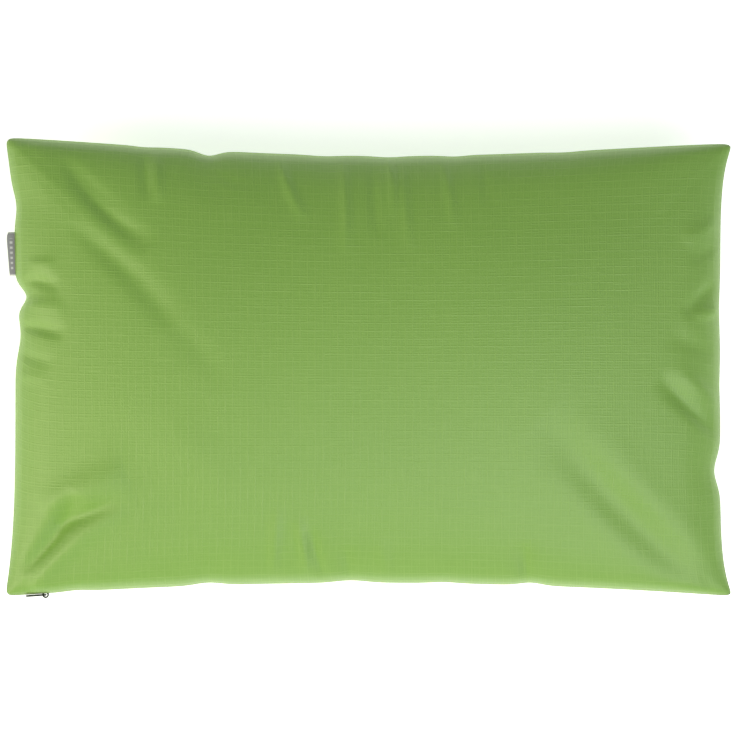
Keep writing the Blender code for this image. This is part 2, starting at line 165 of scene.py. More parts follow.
def buildStudio():
    camera = bpy.data.cameras.new("camera")
    camera.sensor_width = studio["sensor"]
    camera.lens = studio["sensor"] * (studio["cameraHeight"] - seamZ) / studio["viewWidth"]
    camera.clip_end = studio["clipEnd"]
    holder = bpy.data.objects.new("camera", camera)
    holder.location = (*studio["cameraPlace"], studio["cameraHeight"])
    bpy.context.scene.collection.objects.link(holder)
    bpy.context.scene.camera = holder
    bpy.context.scene.view_settings.view_transform = "Standard"

    areaLight("key", studio["keyPlace"], studio["keySize"], studio["keyPower"], studio["keyColour"])
    areaLight("fill", studio["fillPlace"], studio["fillSize"], studio["fillPower"])
    world = bpy.data.worlds.new("studio")
    world.use_nodes = True
    sky = world.node_tree.nodes["Background"]
    sky.inputs["Color"].default_value = linearColour(studio["worldColour"])
    sky.inputs["Strength"].default_value = studio["worldStrength"]
    bpy.context.scene.world = world

    floorMesh = bpy.data.meshes.new("floor")
    reach = studio["floorReach"]
    floorMesh.from_pydata(
        [(-reach, -reach, 0), (reach, -reach, 0), (reach, reach, 0), (-reach, reach, 0)], [], [(0, 1, 2, 3)]
    )
    floorMesh.materials.append(studioMaterial())
    floor = bpy.data.objects.new("floor", floorMesh)
    bpy.context.scene.collection.objects.link(floor)


buildStudio()
print("studio ready")

# the cover: two sheets sewn round their edge and blown up by the stuffing
cover = {
    "cutLength": 500 * mm,  # each panel's flat size inside the seam
    "cutWidth": 312 * mm,
    "grid": 4.0 * mm,
    "thickness": 0.45 * mm,
    "leftHollow": 7.0 * mm,  # how far each filled side pulls in
    "rightHollow": 8.5 * mm,
    "topHollow": 10.0 * mm,
    "topRightDrop": 4.0 * mm,  # the cover was cut a little out of square
    "cornerPull": 1.8 * mm,  # how far each corner's tip is rounded off
    "crown": 50 * mm,
    "pressure": 4.0,
    "frames": 30,
    "stretch": 20.0,
    "bend": 0.15,
    "clothQuality": 6,
    "clothMass": 0.2,
    "airDamping": 3.0,
    "damping": 6.0,
    "shearShare": 0.3,  # of the stretch stiffness
    "gather": 0.5,
    "gatherSpread": 0.9,
    "gatherFull": 4,  # mm of pucker depth that gathers the seam fully
    "puckerReach": 14 * mm,  # how far in from the seam a pucker pulls the fabric
    "noise": 0.02 * mm,
    "seed": 5,
    "lipGap": 2.0 * mm,
    "seamGap": 0.5 * mm,
    "roll": 2.6 * mm,  # how full the fabric stands right beside its seam
    "zipRoll": 3.4 * mm,
    "backFolds": 0.6,  # share of the front's fold heights
    "tapeReach": 30 * mm,
    "tipReach": 2.5 * mm,
    "rimFade": 6 * mm,  # the folds fade out this close to the seam
    "rollRise": 1.6 * mm,
    "rollReach": 30 * mm,
    "zipReach": 14 * mm,
    "zipEnds": (0.94, 0.02),  # shares of the half side: where the zip's fuller roll ends, and its fade
    "cornerReach": 25 * mm,  # the roll is full this far in from the left and right sides
    "cornerRoll": 0.15,  # the share of it left at those two sides
    "crownPower": 2.5,
    "backDepth": 1.1,  # the back bulges this many times as far, before the floor presses it flat
    "restZ": 0.1 * mm,  # the back lies flat on this height
    "restSoftness": 2.5 * mm,
    "lip": ((0.5 * mm, -0.12 * mm), (3.0 * mm, 0.0)),  # the folded-in edge: how far in and how high
}

# puckers in the seam: place along the side from its middle, depth and half width
puckers = {
    "top": [(-107, 3.5, 9), (13, 0.9, 12), (57, 0.8, 9), (-30, 0.7, 12), (130, 0.6, 12), (-150, 0.6, 9)],
    "bottom": [(-107, 1.8, 12), (-12, 1.6, 14), (108, 1.8, 10), (-195, 1.0, 10), (50, 0.8, 12)],
    "left": [(47, 7.0, 8), (22, 3.4, 16), (108, 2.4, 12)],
    "right": [(-68, 4.0, 12), (40, 0.8, 20), (-10, 0.6, 15)],
}


def gathered(share, places, half):
    # where a flat share of the side ends up, since the seam draws in most at its puckers
    steps = np.linspace(-1, 1, 2001)
    rate = np.ones_like(steps)
    for place, depth, width in places:
        reach = cover["gatherSpread"] * width * mm
        spread = np.exp(-(((steps * half - place * mm) / reach) ** 2))
        rate -= cover["gather"] * min(1.0, depth / cover["gatherFull"]) * spread
    total = np.concatenate([[0], np.cumsum((rate[1:] + rate[:-1]) / 2)])
    return np.interp(share, steps, total / total[-1] * 2 - 1)


def puckerDepth(share, places, half):
    depth = np.zeros_like(share)
    for place, size, width in places:
        depth += size * mm * np.exp(-(((share * half - place * mm) / (width * mm)) ** 2))
    return depth * (1 - np.abs(share) ** 8)


def sideXY(name, share, pucker):
    # points of one side of the filled pillow, from its share -1 to 1, with or without its puckers: the short
    # sides pull in right beside their corners, and the top pulls in gradually towards its middle
    half = halfLength if name in ("top", "bottom") else halfWidth
    places = puckers[name] if pucker else []
    share = gathered(share, places, half)
    depth = puckerDepth(share, places, half)
    if name == "top":
        drop = cover["topRightDrop"] * (1 + share) / 2 + cover["topHollow"] * (1 - share**2) ** 1.5
        return np.stack([share * half, halfWidth - drop - depth], 1)
    if name == "bottom":
        zipY = zipCentreY + np.sqrt(zipRadius**2 - (share * half) ** 2)
        return np.stack([share * half, zipY + depth], 1)
    if name == "left":
        return np.stack([cover["leftHollow"] * (1 - share**4) + depth - halfLength, share * half], 1)
    y = (share * (2 * halfWidth - cover["topRightDrop"]) - cover["topRightDrop"]) / 2
    return np.stack([halfLength - cover["rightHollow"] * (1 - share**8) - depth, y], 1)


def planPoints(us, vs):
    # every grid point's place in plan: blended from the four sides, then each side's puckers, fading inwards
    top, bottom = sideXY("top", us, False)[:, None], sideXY("bottom", us, False)[:, None]
    left, right = sideXY("left", vs, False)[None], sideXY("right", vs, False)[None]
    a = ((us + 1) / 2)[:, None, None]
    b = ((vs + 1) / 2)[None, :, None]
    corners = (1 - a) * (1 - b) * bottom[0, 0] + a * (1 - b) * bottom[-1, 0]
    corners = corners + (1 - a) * b * top[0, 0] + a * b * top[-1, 0]
    plan = (1 - b) * bottom + b * top + (1 - a) * left + a * right - corners
    reach = cover["puckerReach"]
    plan = plan + (sideXY("top", us, True)[:, None] - top) * np.exp(-(1 - b) * 2 * halfWidth / reach)
    plan = plan + (sideXY("bottom", us, True)[:, None] - bottom) * np.exp(-b * 2 * halfWidth / reach)
    plan = plan + (sideXY("left", vs, True)[None] - left) * np.exp(-a * 2 * halfLength / reach)
    plan = plan + (sideXY("right", vs, True)[None] - right) * np.exp(-(1 - a) * 2 * halfLength / reach)
    return plan


def stuffCover():
    # both sheets as one mesh sewn at the edge: it starts crowned, with the flat cut as its unstretched size,
    # and cloth simulation settles it under pressure with its seam pinned
    countX = round(cover["cutLength"] / cover["grid"])
    countY = round(cover["cutWidth"] / cover["grid"])
    us = np.linspace(-1, 1, countX + 1)
    vs = np.linspace(-1, 1, countY + 1)
    plan = planPoints(us, vs)
    u, v = np.meshgrid(us, vs, indexing="ij")
    crown = np.sqrt(np.clip(1 - np.abs(u) ** cover["crownPower"], 0, 1) * np.clip(1 - v**2, 0, 1))
    random = np.random.default_rng(cover["seed"])
    index = {}
    filled, flat, seam = [], [], []
    for side in (1, -1):
        for i in range(countX + 1):
            for j in range(countY + 1):
                onEdge = i in (0, countX) or j in (0, countY)
                if side < 0 and onEdge:
                    index[side, i, j] = index[1, i, j]
                    continue
                index[side, i, j] = len(filled)
                z = 0 if onEdge else side * cover["crown"] * crown[i, j] + random.normal(0, cover["noise"])
                filled.append((*plan[i, j], z))
                flat.append((u[i, j] * cover["cutLength"] / 2, v[i, j] * cover["cutWidth"] / 2, 0))
                if onEdge:
                    seam.append(index[side, i, j])
    faces = []
    for side in (1, -1):
        for i in range(countX):
            for j in range(countY):
                corners = ((i, j), (i + 1, j), (i + 1, j + 1), (i, j + 1))
                quad = [index[(side, *corner)] for corner in corners]
                faces.append(quad if side > 0 else quad[::-1])
    mesh = bpy.data.meshes.new("bag")
    mesh.from_pydata(filled, [], faces)
    bag = bpy.data.objects.new("bag", mesh)
    bpy.context.scene.collection.objects.link(bag)
    bag.shape_key_add(name="filled")
    flatKey = bag.shape_key_add(name="flat")
    flatKey.data.foreach_set("co", np.array(flat, dtype=np.float32).ravel())
    flatKey.value = 0
    group = bag.vertex_groups.new(name="seam")
    group.add(seam, 1.0, "REPLACE")

    cloth = bag.modifiers.new("cloth", "CLOTH")
    how = cloth.settings
    how.quality = cover["clothQuality"]
    how.mass = cover["clothMass"]
    how.air_damping = cover["airDamping"]
    how.tension_stiffness = cover["stretch"]
    how.compression_stiffness = cover["stretch"]
    how.shear_stiffness = cover["shearShare"] * cover["stretch"]
    how.bending_stiffness = cover["bend"]
    how.tension_damping = cover["damping"]
    how.compression_damping = cover["damping"]
    how.shear_damping = cover["damping"]
    how.use_pressure = True
    how.uniform_pressure_force = cover["pressure"]
    how.effector_weights.gravity = 0
    how.vertex_group_mass = "seam"
    how.rest_shape_key = flatKey
    cloth.collision_settings.use_collision = False
    cloth.point_cache.frame_start = 1
    cloth.point_cache.frame_end = cover["frames"]
    for number in range(1, cover["frames"] + 1):
        bpy.context.scene.frame_set(number)
    shaped = bag.evaluated_get(bpy.context.evaluated_depsgraph_get())
    places = np.empty(len(shaped.data.vertices) * 3)
    shaped.data.vertices.foreach_get("co", places)
    places = places.reshape(-1, 3)
    bpy.data.objects.remove(bag)
    bpy.context.scene.frame_set(1)
    sheets = {}
    for side in (1, -1):
        order = [[index[side, i, j] for j in range(countY + 1)] for i in range(countX + 1)]
        sheets[side] = places[np.array(order)]
    return sheets, u, v


coarse, gridU, gridV = stuffCover()
print("cover stuffed")

# soft folds on the front, in mm from the middle: start x, y, end x, y, half width, height and sideways bow
folds = [
    # lower left corner
    (-218, -93, -160, -69, 11.0, 3.6, 0),
    (-230, -137, -191, -83, 6.0, -5.0, -2),
    (-210, -108, -164, -88, 4.5, -2.2, 0),
    (-226, -146, -162, -90, 6.5, 3.4, 2),
    # upper left corner
    (-243, 153, -172, 84, 13.0, 2.2, 0),
    (-203, 137, -143, 78, 6.5, -3.4, -2),
    (-196, 130, -150, 92, 3.5, 1.2, -3),
    (-198, 96, -126, 30, 7.5, -2.3, 2),
    (-152, 52, -92, -14, 8.0, -0.8, 2),
    (-151, 146, -146, 111, 3.5, -1.4, 0),
    (-141, 142, -139, 108, 3.5, 1.5, 0),
    # lower right corner
    (224, -149, 112, -34, 12.0, -3.4, 3),
    (232, -129, 137, -30, 12.0, 1.4, 3),
    (196, -143, 117, -62, 11.0, 1.0, 2),
    # left side
    (-234, 27, -200, 22, 4.0, -2.6, 1),
    (-232, 41, -200, 38, 5.0, 1.6, 1),
    (-230, 58, -204, 53, 3.6, -2.2, 1),
    (-228, 69, -206, 67, 3.6, 1.2, 0),
    (-238, 10, -208, 2, 3.5, -1.3, 0),
    (-240, -4, -212, -8, 3.5, 0.7, 0),
    # right side
    (231, -45, 190, -6, 5.0, -3.2, 0),
    (234, -28, 200, 2, 5.0, 1.6, 0),
    (231, 57, 208, 34, 4.5, -2.4, 0),
    (238, 43, 216, 31, 4.5, 2.0, 0),
    (236, 32, 216, 30, 2.8, -0.8, 0),
    (232, 98, 208, 82, 5.0, 1.6, 0),
    (234, 82, 212, 70, 4.0, -1.0, 0),
    (228, 8, 196, 22, 6.0, -1.2, 0),
    # upper side
    (-61, 143, -42, 96, 3.0, 1.6, -2),
    (-18, 142, -15, 74, 2.8, 1.6, 1),
    (2, 142, 6, 84, 3.0, -1.1, -1),
    (11, 143, 16, 98, 2.8, 1.5, 2),
    (22, 142, 27, 76, 2.6, 1.2, -1),
    (47, 142, 56, 90, 2.8, 1.1, 1),
    (72, 143, 80, 104, 3.0, -0.7, 0),
    # lower side
    (-63, -140, -59, -92, 3.2, 1.4, 1),
    (-41, -138, -47, -98, 3.2, 1.6, -1),
    (-29, -141, -39, -106, 3.5, -1.7, 1),
    (-12, -144, -16, -118, 4.0, -1.2, 0),
    (12, -144, 8, -112, 4.0, 0.8, 0),
    (105, -145, 101, -116, 4.0, -1.6, 0),
    # wide soft waves over the middle
    (-170, -30, -120, -110, 16.0, -0.7, 0),
    (-140, -20, -84, -96, 14.0, 0.6, 0),
]


def foldHeight(x, y, fold):
    startX, startY, endX, endY, width, height, bow = fold
    alongX, alongY = endX - startX, endY - startY
    length = math.hypot(alongX, alongY)
    share = np.clip(((x - startX) * alongX + (y - startY) * alongY) / length**2, -0.5, 1.5)
    across = ((x - startX) * -alongY + (y - startY) * alongX) / length
    across = across - bow * np.sin(np.pi * share)
    ends = np.clip(np.sin(np.pi * np.clip(share, 0, 1)), 0, 1) ** 0.8
    return height * ends * np.exp(-((across / (width * (0.75 + 0.5 * share))) ** 2))


def refined(values):
    # twice as many grid points, on the four-point curve through the old ones
    for axis in (0, 1):
        values = np.moveaxis(values, axis, 0)
        padded = np.concatenate([2 * values[:1] - values[1:2], values, 2 * values[-1:] - values[-2:-1]])
        between = (9 * (padded[1:-2] + padded[2:-1]) - padded[:-3] - padded[3:]) / 16
        doubled = np.empty((2 * len(values) - 1,) + values.shape[1:])
        doubled[::2] = values
        doubled[1::2] = between
        values = np.moveaxis(doubled, 0, axis)
    return values


sheets = {side: refined(coarse[side]) for side in (1, -1)}
gridU, gridV = refined(gridU), refined(gridV)
tipDistance = (1 - np.abs(gridU)) * halfLength + (1 - np.abs(gridV)) * halfWidth
tipPull = cover["cornerPull"] * np.exp(-tipDistance / cover["tipReach"])
for side in (1, -1):
    sheets[side][..., 0] -= np.sign(gridU) * tipPull
    sheets[side][..., 1] -= np.sign(gridV) * tipPull


def surfaceNormals(sheet, side):
    alongX = np.gradient(sheet, axis=0)
    alongY = np.gradient(sheet, axis=1)
    normal = np.cross(alongX, alongY)
    normal /= np.linalg.norm(normal, axis=2, keepdims=True) + 1e-12
    return normal * side


def dressSheet(side):
    sheet = sheets[side].copy()
    x, y = sheet[..., 0] / mm, sheet[..., 1] / mm
    # the back has the same folds, the other way round and softer, and none over the zip's tape
    overTape = np.clip((1 + gridV) * halfWidth / cover["tapeReach"] - 0.5, 0, 1)
    strength = 1.0 if side > 0 else cover["backFolds"] * overTape
    lift = strength * sum((foldHeight(x * side, y, fold) for fold in folds), np.zeros_like(x))
    rim = np.minimum(1 - np.abs(gridU), (1 - np.abs(gridV)) * halfWidth / halfLength) * halfLength
    sheet += surfaceNormals(sheet, side) * (lift * mm * np.clip(rim / cover["rimFade"], 0, 1))[..., None]
    # beside the seam the fabric rolls up before it follows the stuffing, more over the zip
    toZip = (1 + gridV) * halfWidth
    zipEnd, zipFade = cover["zipEnds"]
    nearZip = np.exp(-((toZip / cover["zipReach"]) ** 2)) * np.clip((zipEnd - np.abs(gridU)) / zipFade, 0, 1)
    roll = cover["roll"] + (cover["zipRoll"] - cover["roll"]) * nearZip
    gap = cover["seamGap"] + (cover["lipGap"] - cover["seamGap"]) * nearZip
    corner = np.clip((1 - np.abs(gridU)) * halfLength / cover["cornerReach"], cover["cornerRoll"], 1)
    away = 1 - np.exp(-rim / cover["rollRise"])
    fade = np.exp(-((rim / cover["rollReach"]) ** 2))
    sheet[..., 2] += side * (gap / 2 * fade + roll * away * fade * corner)
    sheet[..., 2] += seamZ
    if side < 0:
        # the back rests on the floor: its lowest part is pressed flat, with a soft edge
        z = seamZ - (seamZ - sheet[..., 2]) * cover["backDepth"]
        soft, rest = cover["restSoftness"], cover["restZ"]
        pressed = rest + soft * np.logaddexp(0, (z - rest) / soft)
        sheet[..., 2] = np.where(z > rest + 6 * soft, z, pressed)
    return sheet


ripstopLook = {
    "warpPitch": 5.2,  # mm between the doubled threads, across and along
    "weftPitch": 5.5,
    "threadWidth": 0.75,
    "fineWidth": 0.5,  # mm; real yarns are about 0.25 mm apart, too fine to show, so one in seven is drawn
    "fineShare": 0.35,
    "slubWidth": 1.111 * mm,  # a few yarns together, for the same reason
    "slubLength": 16.67 * mm,
    "cloudSize": 111.1 * mm,
    "creaseSize": 18.18 * mm,
    "darkGround": "#7bac36",
    "lightGround": "#84b43b",
    # the paler colour that the raised threads and slubs take: a painted highlight
    "thread": "#a6cd64",
    "threadHighlight": 0.14,
    "slubHighlight": 0.13,
    "roughness": 0.58,
    "ior": 1.58,
    "sheen": 0.15,
    "sheenRoughness": 0.4,
    "sheenTint": "#dff0b8",
}


def ripstopMaterial():
    # woven ripstop polyester, dyed in the piece and coated inside: a soft broad sheen, with a raised grid of
    # doubled threads a little over 5 mm apart and finer threads at a third of that
    look = ripstopLook
    made, tree, shader = newMaterial("ripstop polyester, woven and dyed green")
    cut = addNode(tree, "UVMap", uv_map="weave")
    place = addNode(tree, "SeparateXYZ", {0: cut.outputs["UV"]})

    def threadLines(axis, pitch, width):
        # 1 on each thread and 0 between them
        scaled = addNode(tree, "Math", {0: place.outputs[axis], 1: pitch * mm}, operation="DIVIDE")
        part = addNode(tree, "Math", {0: scaled.outputs[0], 1: 0.5}, operation="ADD")
        part = addNode(tree, "Math", {0: part.outputs[0]}, operation="FRACT")
        part = addNode(tree, "Math", {0: part.outputs[0], 1: 0.5}, operation="SUBTRACT")
        part = addNode(tree, "Math", {0: part.outputs[0]}, operation="ABSOLUTE")
        edge = width / pitch / 2
        ramp = {"From Min": edge * 0.4, "From Max": edge * 1.6, "To Min": 1.0, "To Max": 0.0}
        ramp["Value"] = part.outputs[0]
        return addNode(tree, "MapRange", ramp, interpolation_type="SMOOTHSTEP").outputs[0]

    def threadGrid(share, width):
        lines = {0: threadLines("X", look["warpPitch"] * share, width)}
        lines[1] = threadLines("Y", look["weftPitch"] * share, width)
        return addNode(tree, "Math", lines, operation="MAXIMUM")

    bigGrid = threadGrid(1, look["threadWidth"])
    fineGrid = threadGrid(1 / 3, look["fineWidth"])
    fine = addNode(tree, "Math", {0: fineGrid.outputs[0], 1: look["fineShare"]}, operation="MULTIPLY")
    grid = addNode(tree, "Math", {0: bigGrid.outputs[0], 1: fine.outputs[0]}, operation="MAXIMUM")
    coords = addNode(tree, "TexCoord")
    cloudInputs = {"Vector": coords.outputs["Object"], "Scale": cellScale(look["cloudSize"]), "Detail": 3.0}
    cloud = addNode(tree, "TexNoise", cloudInputs)
    ground = addNode(tree, "Mix", data_type="RGBA")
    ground.inputs["A"].default_value = linearColour(look["darkGround"])
    ground.inputs["B"].default_value = linearColour(look["lightGround"])
    tree.links.new(cloud.outputs["Fac"], ground.inputs["Factor"])
    # uneven yarns: short thick places along the warp and the weft
    slubs = []
    narrow, long = cellScale(look["slubWidth"]), cellScale(look["slubLength"])
    for stretch in ((narrow, long, 1.0), (long, narrow, 1.0)):
        along = addNode(tree, "VectorMath", {0: cut.outputs["UV"], 1: stretch}, operation="MULTIPLY")
        uneven = addNode(tree, "TexNoise", {"Vector": along.outputs[0], "Scale": 1.0, "Detail": 1.0})
        slubs.append(uneven.outputs["Fac"])
    slub = addNode(tree, "Math", {0: slubs[0], 1: slubs[1]}, operation="MAXIMUM")
    slub = addNode(tree, "MapRange", {"Value": slub.outputs[0], "From Min": 0.45, "From Max": 0.75})
    # the grid threads and the slubs are drawn paler than the ground: painted highlight on the raised yarn
    lines = addNode(tree, "Math", {0: grid.outputs[0], 1: look["threadHighlight"]}, operation="MULTIPLY")
    yarns = addNode(tree, "Math", {0: slub.outputs[0], 1: look["slubHighlight"]}, operation="MULTIPLY")
    paintedHighlight = addNode(tree, "Math", {0: lines.outputs[0], 1: yarns.outputs[0]}, operation="ADD")
    colour = addNode(tree, "Mix", data_type="RGBA")
    tree.links.new(paintedHighlight.outputs[0], colour.inputs["Factor"])
    tree.links.new(ground.outputs["Result"], colour.inputs["A"])
    colour.inputs["B"].default_value = linearColour(look["thread"])
    creaseInputs = {"Scale": cellScale(look["creaseSize"]), "Detail": 4.0, "Roughness": 0.55}
    creaseInputs["Vector"] = coords.outputs["Object"]
    creases = addNode(tree, "TexNoise", creaseInputs)
    creaseHeight = {"Strength": 0.15, "Distance": 0.9 * mm, "Height": creases.outputs["Fac"]}
    creaseBump = addNode(tree, "Bump", creaseHeight)
    relief = addNode(tree, "Math", {0: grid.outputs[0], 1: slub.outputs[0]}, operation="ADD")
    gridHeight = {"Strength": 0.6, "Distance": 0.12 * mm, "Height": relief.outputs[0]}
    gridHeight["Normal"] = creaseBump.outputs["Normal"]
    gridBump = addNode(tree, "Bump", gridHeight)
    feed(tree, shader, Base_Color=colour.outputs["Result"], Normal=gridBump.outputs["Normal"])
    shader.inputs["Roughness"].default_value = look["roughness"]
    shader.inputs["IOR"].default_value = look["ior"]
    shader.inputs["Specular IOR Level"].default_value = 1.0
    shader.inputs["Sheen Weight"].default_value = look["sheen"]
    shader.inputs["Sheen Roughness"].default_value = look["sheenRoughness"]
    shader.inputs["Sheen Tint"].default_value = linearColour(look["sheenTint"])
    return made


ripstop = ripstopMaterial()


def gridFaces(countX, countY, side, first=0):
    faces = []
    for i in range(countX - 1):
        for j in range(countY - 1):
            k = first + i * countY + j
            quad = [k, k + countY, k + countY + 1, k + 1]
            faces.append(quad if side > 0 else quad[::-1])
    return faces


def coverPiece(side, name, replaced):
    sheet = dressSheet(side)
    countX, countY = sheet.shape[0], sheet.shape[1]
    verts = [tuple(p) for p in sheet.reshape(-1, 3)]
    shares = zip(gridU.ravel(), gridV.ravel())
    flat = [(u * cover["cutLength"] / 2, v * cover["cutWidth"] / 2) for u, v in shares]
    faces = gridFaces(countX, countY, side)
    # the edge is folded in towards the middle of the pillow
    rim = [i * countY for i in range(countX - 1)]
    rim += [(countX - 1) * countY + j for j in range(countY - 1)]
    rim += [i * countY + countY - 1 for i in range(countX - 1, 0, -1)]
    rim += list(range(countY - 1, 0, -1))
    last = rim
    nearEdge = 0.999
    for inset, rise in cover["lip"]:
        ring = []
        for k in rim:
            x, y, z = verts[k]
            u, v = flat[k][0] / cover["cutLength"] * 2, flat[k][1] / cover["cutWidth"] * 2
            inX = inset if abs(u) > nearEdge else 0
            inY = inset if abs(v) > nearEdge else 0
            ring.append(len(verts))
            verts.append((x - math.copysign(inX, x), y - math.copysign(inY, y), z + side * rise))
            flat.append((flat[k][0] + math.copysign(inX, x), flat[k][1] + math.copysign(inY, y)))
        for k in range(len(rim)):
            n = (k + 1) % len(rim)
            quad = [last[k], ring[k], ring[n], last[n]]
            faces.append(quad if side > 0 else quad[::-1])
        last = ring
    piece = newPiece(name, verts, faces, ripstop, "pillow", replaced)
    layer = piece.data.uv_layers.new(name="weave")
    for loop in piece.data.loops:
        layer.data[loop.index].uv = flat[loop.vertex_index]
    thick = piece.modifiers.new("fabric", "SOLIDIFY")
    thick.thickness = cover["thickness"]
    thick.offset = -1


coverPiece(1, "cover_front", ["cover_front_panel"])
coverPiece(-1, "cover_back", ["cover_back_panel"])
print("cover panels made")

# the insert: a white case with its fibre, inside the cover
insert = {
    "caseScale": (0.945, 0.905, 0.93),  # of the cover's own filled shape
    "fillScale": (0.935, 0.890, 0.905),
    "caseThickness": 0.4 * mm,
    "seamGap": 0.6 * mm,
}


def nonwovenMaterial():
    # spunbonded polypropylene: thin, dull and white, with pressed dots, drawn twice as coarse as real ones
    made, tree, shader = newMaterial("spunbond nonwoven, white")
    coords = addNode(tree, "TexCoord")
    pressed = {"Vector": coords.outputs["Object"], "Scale": cellScale(2.222 * mm), "Randomness": 0.2}
    dots = addNode(tree, "TexVoronoi", pressed)
    tint = addNode(tree, "Mix", {"Factor": dots.outputs["Distance"]}, data_type="RGBA")
    tint.inputs["A"].default_value = linearColour("#d9d9d5")
    tint.inputs["B"].default_value = linearColour("#f2f2ee")
    bump = addNode(tree, "Bump", {"Strength": 0.3, "Distance": 0.1 * mm, "Height": dots.outputs["Distance"]})
    feed(tree, shader, Base_Color=tint.outputs["Result"], Normal=bump.outputs["Normal"])
    shader.inputs["Roughness"].default_value = 0.85
    return made


def fibreMaterial():
    # crimped hollow polyester fibre: a soft white mass of fine curled strands
    made, tree, shader = newMaterial("hollow polyester fibre, carded")
    coords = addNode(tree, "TexCoord")
    tuft = {"Scale": cellScale(6.25 * mm), "Detail": 6.0, "Distortion": 2.5}
    tuft["Vector"] = coords.outputs["Object"]
    curls = addNode(tree, "TexNoise", tuft)
    tint = addNode(tree, "Mix", {"Factor": curls.outputs["Fac"]}, data_type="RGBA")
    tint.inputs["A"].default_value = linearColour("#dcdcda")
    tint.inputs["B"].default_value = linearColour("#fbfbfa")
    bump = addNode(tree, "Bump", {"Strength": 0.8, "Distance": 1.5 * mm, "Height": curls.outputs["Fac"]})
    feed(tree, shader, Base_Color=tint.outputs["Result"], Normal=bump.outputs["Normal"])
    shader.inputs["Roughness"].default_value = 0.95
    shader.inputs["Sheen Weight"].default_value = 0.4
    return made


def thinned(sheet):
    rows = sorted(set(range(0, sheet.shape[0], 4)) | {sheet.shape[0] - 1})
    columns = sorted(set(range(0, sheet.shape[1], 4)) | {sheet.shape[1] - 1})
    return sheet[np.ix_(rows, columns)]


def shrunkSheet(side, scale, gap):
    # every fourth grid point of a sheet, drawn in towards the pillow's middle
    sheet = thinned(dressSheet(side))
    inner = sheet * np.array([scale[0], scale[1], 1.0])
    inner[..., 2] = seamZ + (sheet[..., 2] - seamZ) * scale[2]
    inner[[0, -1], :, 2] = seamZ + side * gap / 2
    inner[:, [0, -1], 2] = seamZ + side * gap / 2
    return inner


def casePiece(side, name, replaced, material):
    inner = shrunkSheet(side, insert["caseScale"], insert["seamGap"])
    faces = gridFaces(inner.shape[0], inner.shape[1], side)
    piece = newPiece(name, inner.reshape(-1, 3), faces, material, "pillow", replaced)
    thick = piece.modifiers.new("fabric", "SOLIDIFY")
    thick.thickness = insert["caseThickness"]
    thick.offset = -1


def fillPiece():
    front = shrunkSheet(1, insert["fillScale"], 0)
    back = shrunkSheet(-1, insert["fillScale"], 0)
    countX, countY = front.shape[:2]
    faces = gridFaces(countX, countY, 1) + gridFaces(countX, countY, -1, countX * countY)
    verts = list(front.reshape(-1, 3)) + list(back.reshape(-1, 3))
    piece = newPiece("fibre_filling", verts, faces, fibreMaterial(), "pillow", ["fibre_fill"])
    bm = bmesh.new()
    bm.from_mesh(piece.data)
    bmesh.ops.remove_doubles(bm, verts=bm.verts, dist=0.01 * mm)
    bm.to_mesh(piece.data)
    bm.free()


nonwoven = nonwovenMaterial()
casePiece(1, "insert_front", ["insert_case_front"], nonwoven)
casePiece(-1, "insert_back", ["insert_case_back"], nonwoven)
fillPiece()
print("insert made")

# threads of the seam, the edging, the insert and the zip
threads = {
    "stitch": 2.8 * mm,
    "space": 0.5 * mm,
    "diameter": 0.4 * mm,
    "seamInset": 1.6 * mm,
    "edgingInset": 9.5 * mm,
    "edgingWidth": 4.0 * mm,
    "edgingPitch": 2.2 * mm,
    "edgingSteps": 8,  # points on each loop
    "edgingRise": 0.9 * mm,
    "edgingThread": 0.16 * mm,
    "stitchShape": (0.0, 0.12, 0.5, 0.88, 1.0),  # where a stitch has its rings
    "stitchEnds": 0.35,  # how thin it is at its ends
    "twist": 0.8976 * mm,
}


def threadMaterial(name, hexShaded, hexLit):
    # corespun polyester thread: two plies twisted, with a slight sheen; its turns are painted in lighter and
    # darker bands, painted highlight and shade, and are drawn about twice as coarse as real ones
    made, tree, shader = newMaterial(name)
    coords = addNode(tree, "TexCoord")
    # diagonal bands are twice as far apart along an axis
    turns = {"Vector": coords.outputs["Object"], "Scale": 2 * bandScale(threads["twist"]), "Distortion": 1.0}
    twist = addNode(tree, "TexWave", turns, bands_direction="DIAGONAL")
    # the turns take lighter and darker bands: painted highlight and shade on the plies
    tint = addNode(tree, "Mix", {"Factor": twist.outputs["Fac"]}, data_type="RGBA")
    tint.inputs["A"].default_value = linearColour(hexShaded)
    tint.inputs["B"].default_value = linearColour(hexLit)
    bump = addNode(tree, "Bump", {"Strength": 0.4, "Distance": 0.05 * mm, "Height": twist.outputs["Fac"]})
    feed(tree, shader, Base_Color=tint.outputs["Result"], Normal=bump.outputs["Normal"])
    shader.inputs["Roughness"].default_value = 0.6
    shader.inputs["Sheen Weight"].default_value = 0.2
    return made


def tubeAlong(points, radius, sides=6):
    # verts and faces of a round tube through the points, its ends closed
    verts, faces = [], []
    points = [Vector(p) for p in points]
    count = len(points)
    up = Vector((0, 0, 1))
    for k, point in enumerate(points):
        ahead = points[min(k + 1, count - 1)] - points[max(k - 1, 0)]
        ahead.normalize()
        across = ahead.cross(up)
        across = across.normalized() if across.length > 1e-6 else Vector((1, 0, 0))
        over = across.cross(ahead)
        for s in range(sides):
            turn = 2 * math.pi * s / sides
            verts.append(point + radius * (math.cos(turn) * across + math.sin(turn) * over))
    for k in range(count - 1):
        for s in range(sides):
            n = (s + 1) % sides
            faces.append([k * sides + s, (k + 1) * sides + s, (k + 1) * sides + n, k * sides + n])
    faces.append(list(range(sides)))
    faces.append([(count - 1) * sides + s for s in range(sides)][::-1])
    return verts, faces


def pathLengths(path):
    steps = np.linalg.norm(np.diff(path, axis=0), axis=1)
    return np.concatenate([[0], np.cumsum(steps)])


def alongPath(path, lengths, distance):
    return np.stack([np.interp(distance, lengths, path[:, axis]) for axis in range(3)], -1)


